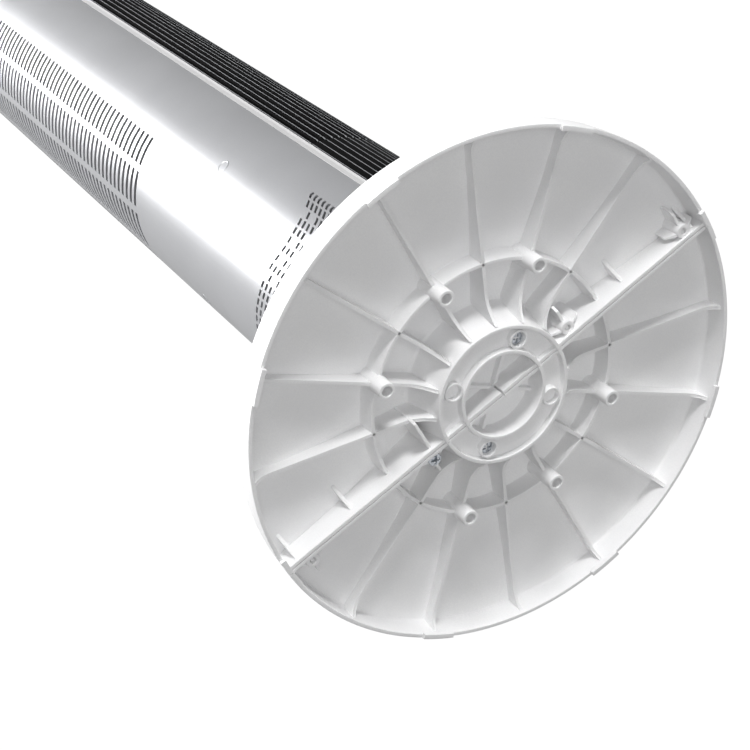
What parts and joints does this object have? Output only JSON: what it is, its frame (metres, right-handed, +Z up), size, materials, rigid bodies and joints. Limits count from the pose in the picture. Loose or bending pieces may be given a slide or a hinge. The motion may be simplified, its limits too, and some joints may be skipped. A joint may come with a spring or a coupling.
{
  "type": "tower fan",
  "caption": "Tower fan with a ribbed two-piece round base, slotted rear shell, upright grille, cross-flow impeller and swivel drive.",
  "frame": {"origin": "centre of the plane that the base stands on", "axes": "+Z up along the tower, -Y towards the side that the air leaves from"},
  "size_m": [0.3, 0.3, 0.96],
  "materials": {
    "white_abs": "satin moulded white ABS",
    "satin_white_abs": "satin white ABS",
    "black_abs": "satin black ABS",
    "gloss_black_acrylic": "gloss black acrylic",
    "smoked_lens": "smoked infrared lens",
    "grey_polypropylene": "grey polypropylene",
    "zinc_plated_steel": "zinc plated steel",
    "sintered_bronze": "sintered bronze",
    "black_rubber": "black rubber",
    "green_laminate": "green solder mask on laminate",
    "natural_acetal": "natural acetal"
  },
  "bodies": {
    "base": {"base_half_left": "white_abs", "base_half_right": "white_abs", "hub_screw_1": "zinc_plated_steel", "hub_screw_2": "zinc_plated_steel", "seam_screw": "zinc_plated_steel", "swivel_seat": "grey_polypropylene", "thrust_washer": "natural_acetal", "fixed_gear": "natural_acetal", "clamp_washer": "zinc_plated_steel", "pivot_screw": "zinc_plated_steel"},
    "tower": {"bottom_cover": "white_abs", "rear_shell": "satin_white_abs", "front_frame": "white_abs", "lower_front_panel": "black_abs", "front_grille": "black_abs", "shell_screw_1": "zinc_plated_steel", "shell_screw_2": "zinc_plated_steel", "shell_screw_3": "zinc_plated_steel", "shell_screw_4": "zinc_plated_steel", "shell_screw_5": "zinc_plated_steel", "shell_screw_6": "zinc_plated_steel", "lower_duct_plate": "grey_polypropylene", "upper_bearing_plate": "grey_polypropylene", "duct_scroll": "grey_polypropylene", "duct_tongue": "grey_polypropylene", "fan_motor": "zinc_plated_steel", "motor_mount": "zinc_plated_steel", "motor_damper_1": "black_rubber", "motor_damper_2": "black_rubber", "motor_damper_3": "black_rubber", "bearing_holder": "black_rubber", "bearing_bush": "sintered_bronze", "oscillation_motor": "zinc_plated_steel", "oscillation_motor_screw_1": "zinc_plated_steel", "oscillation_motor_screw_2": "zinc_plated_steel", "main_board": "green_laminate", "run_capacitor": "grey_polypropylene", "cord_clamp": "grey_polypropylene", "cord_clamp_screw_1": "zinc_plated_steel", "cord_clamp_screw_2": "zinc_plated_steel", "top_cover": "white_abs", "control_panel": "gloss_black_acrylic", "display_window": "smoked_lens", "receiver_lens": "smoked_lens", "control_board": "green_laminate"},
    "impeller": {"impeller": "black_abs", "impeller_axle": "zinc_plated_steel", "motor_shaft": "zinc_plated_steel"},
    "pinion": {"oscillation_pinion": "natural_acetal", "oscillation_motor_shaft": "zinc_plated_steel"},
    "button_power": {"button_power": "grey_polypropylene"},
    "button_speed": {"button_speed": "grey_polypropylene"},
    "button_mode": {"button_mode": "grey_polypropylene"},
    "button_timer": {"button_timer": "grey_polypropylene"},
    "button_swing": {"button_swing": "grey_polypropylene"}
  },
  "joints": [
    {"name": "oscillation", "type": "hinge", "parent": "base", "child": "tower", "pos_m": [0, 0, 0.04], "axis": [0, 0, 1], "range_deg": [-40, 40]},
    {"name": "impeller_spin", "type": "hinge", "parent": "tower", "child": "impeller", "pos_m": [0, 0.012, 0.5], "axis": [0, 0, 1], "continuous": true},
    {"name": "pinion_spin", "type": "hinge", "parent": "tower", "child": "pinion", "pos_m": [0, -0.0361, 0.0475], "axis": [0, 0, 1], "range_deg": [-121, 121]},
    {"name": "button_power_press", "type": "slide", "parent": "tower", "child": "button_power", "axis": [0, 0, -1], "range_m": [0, 0.001], "stiffness_N_per_m": 300},
    {"name": "button_speed_press", "type": "slide", "parent": "tower", "child": "button_speed", "axis": [0, 0, -1], "range_m": [0, 0.001], "stiffness_N_per_m": 300},
    {"name": "button_mode_press", "type": "slide", "parent": "tower", "child": "button_mode", "axis": [0, 0, -1], "range_m": [0, 0.001], "stiffness_N_per_m": 300},
    {"name": "button_timer_press", "type": "slide", "parent": "tower", "child": "button_timer", "axis": [0, 0, -1], "range_m": [0, 0.001], "stiffness_N_per_m": 300},
    {"name": "button_swing_press", "type": "slide", "parent": "tower", "child": "button_swing", "axis": [0, 0, -1], "range_m": [0, 0.001], "stiffness_N_per_m": 300}
  ],
  "couplings": [
    {"joint": "pinion_spin", "follows": "oscillation", "ratio": 3}
  ]
}
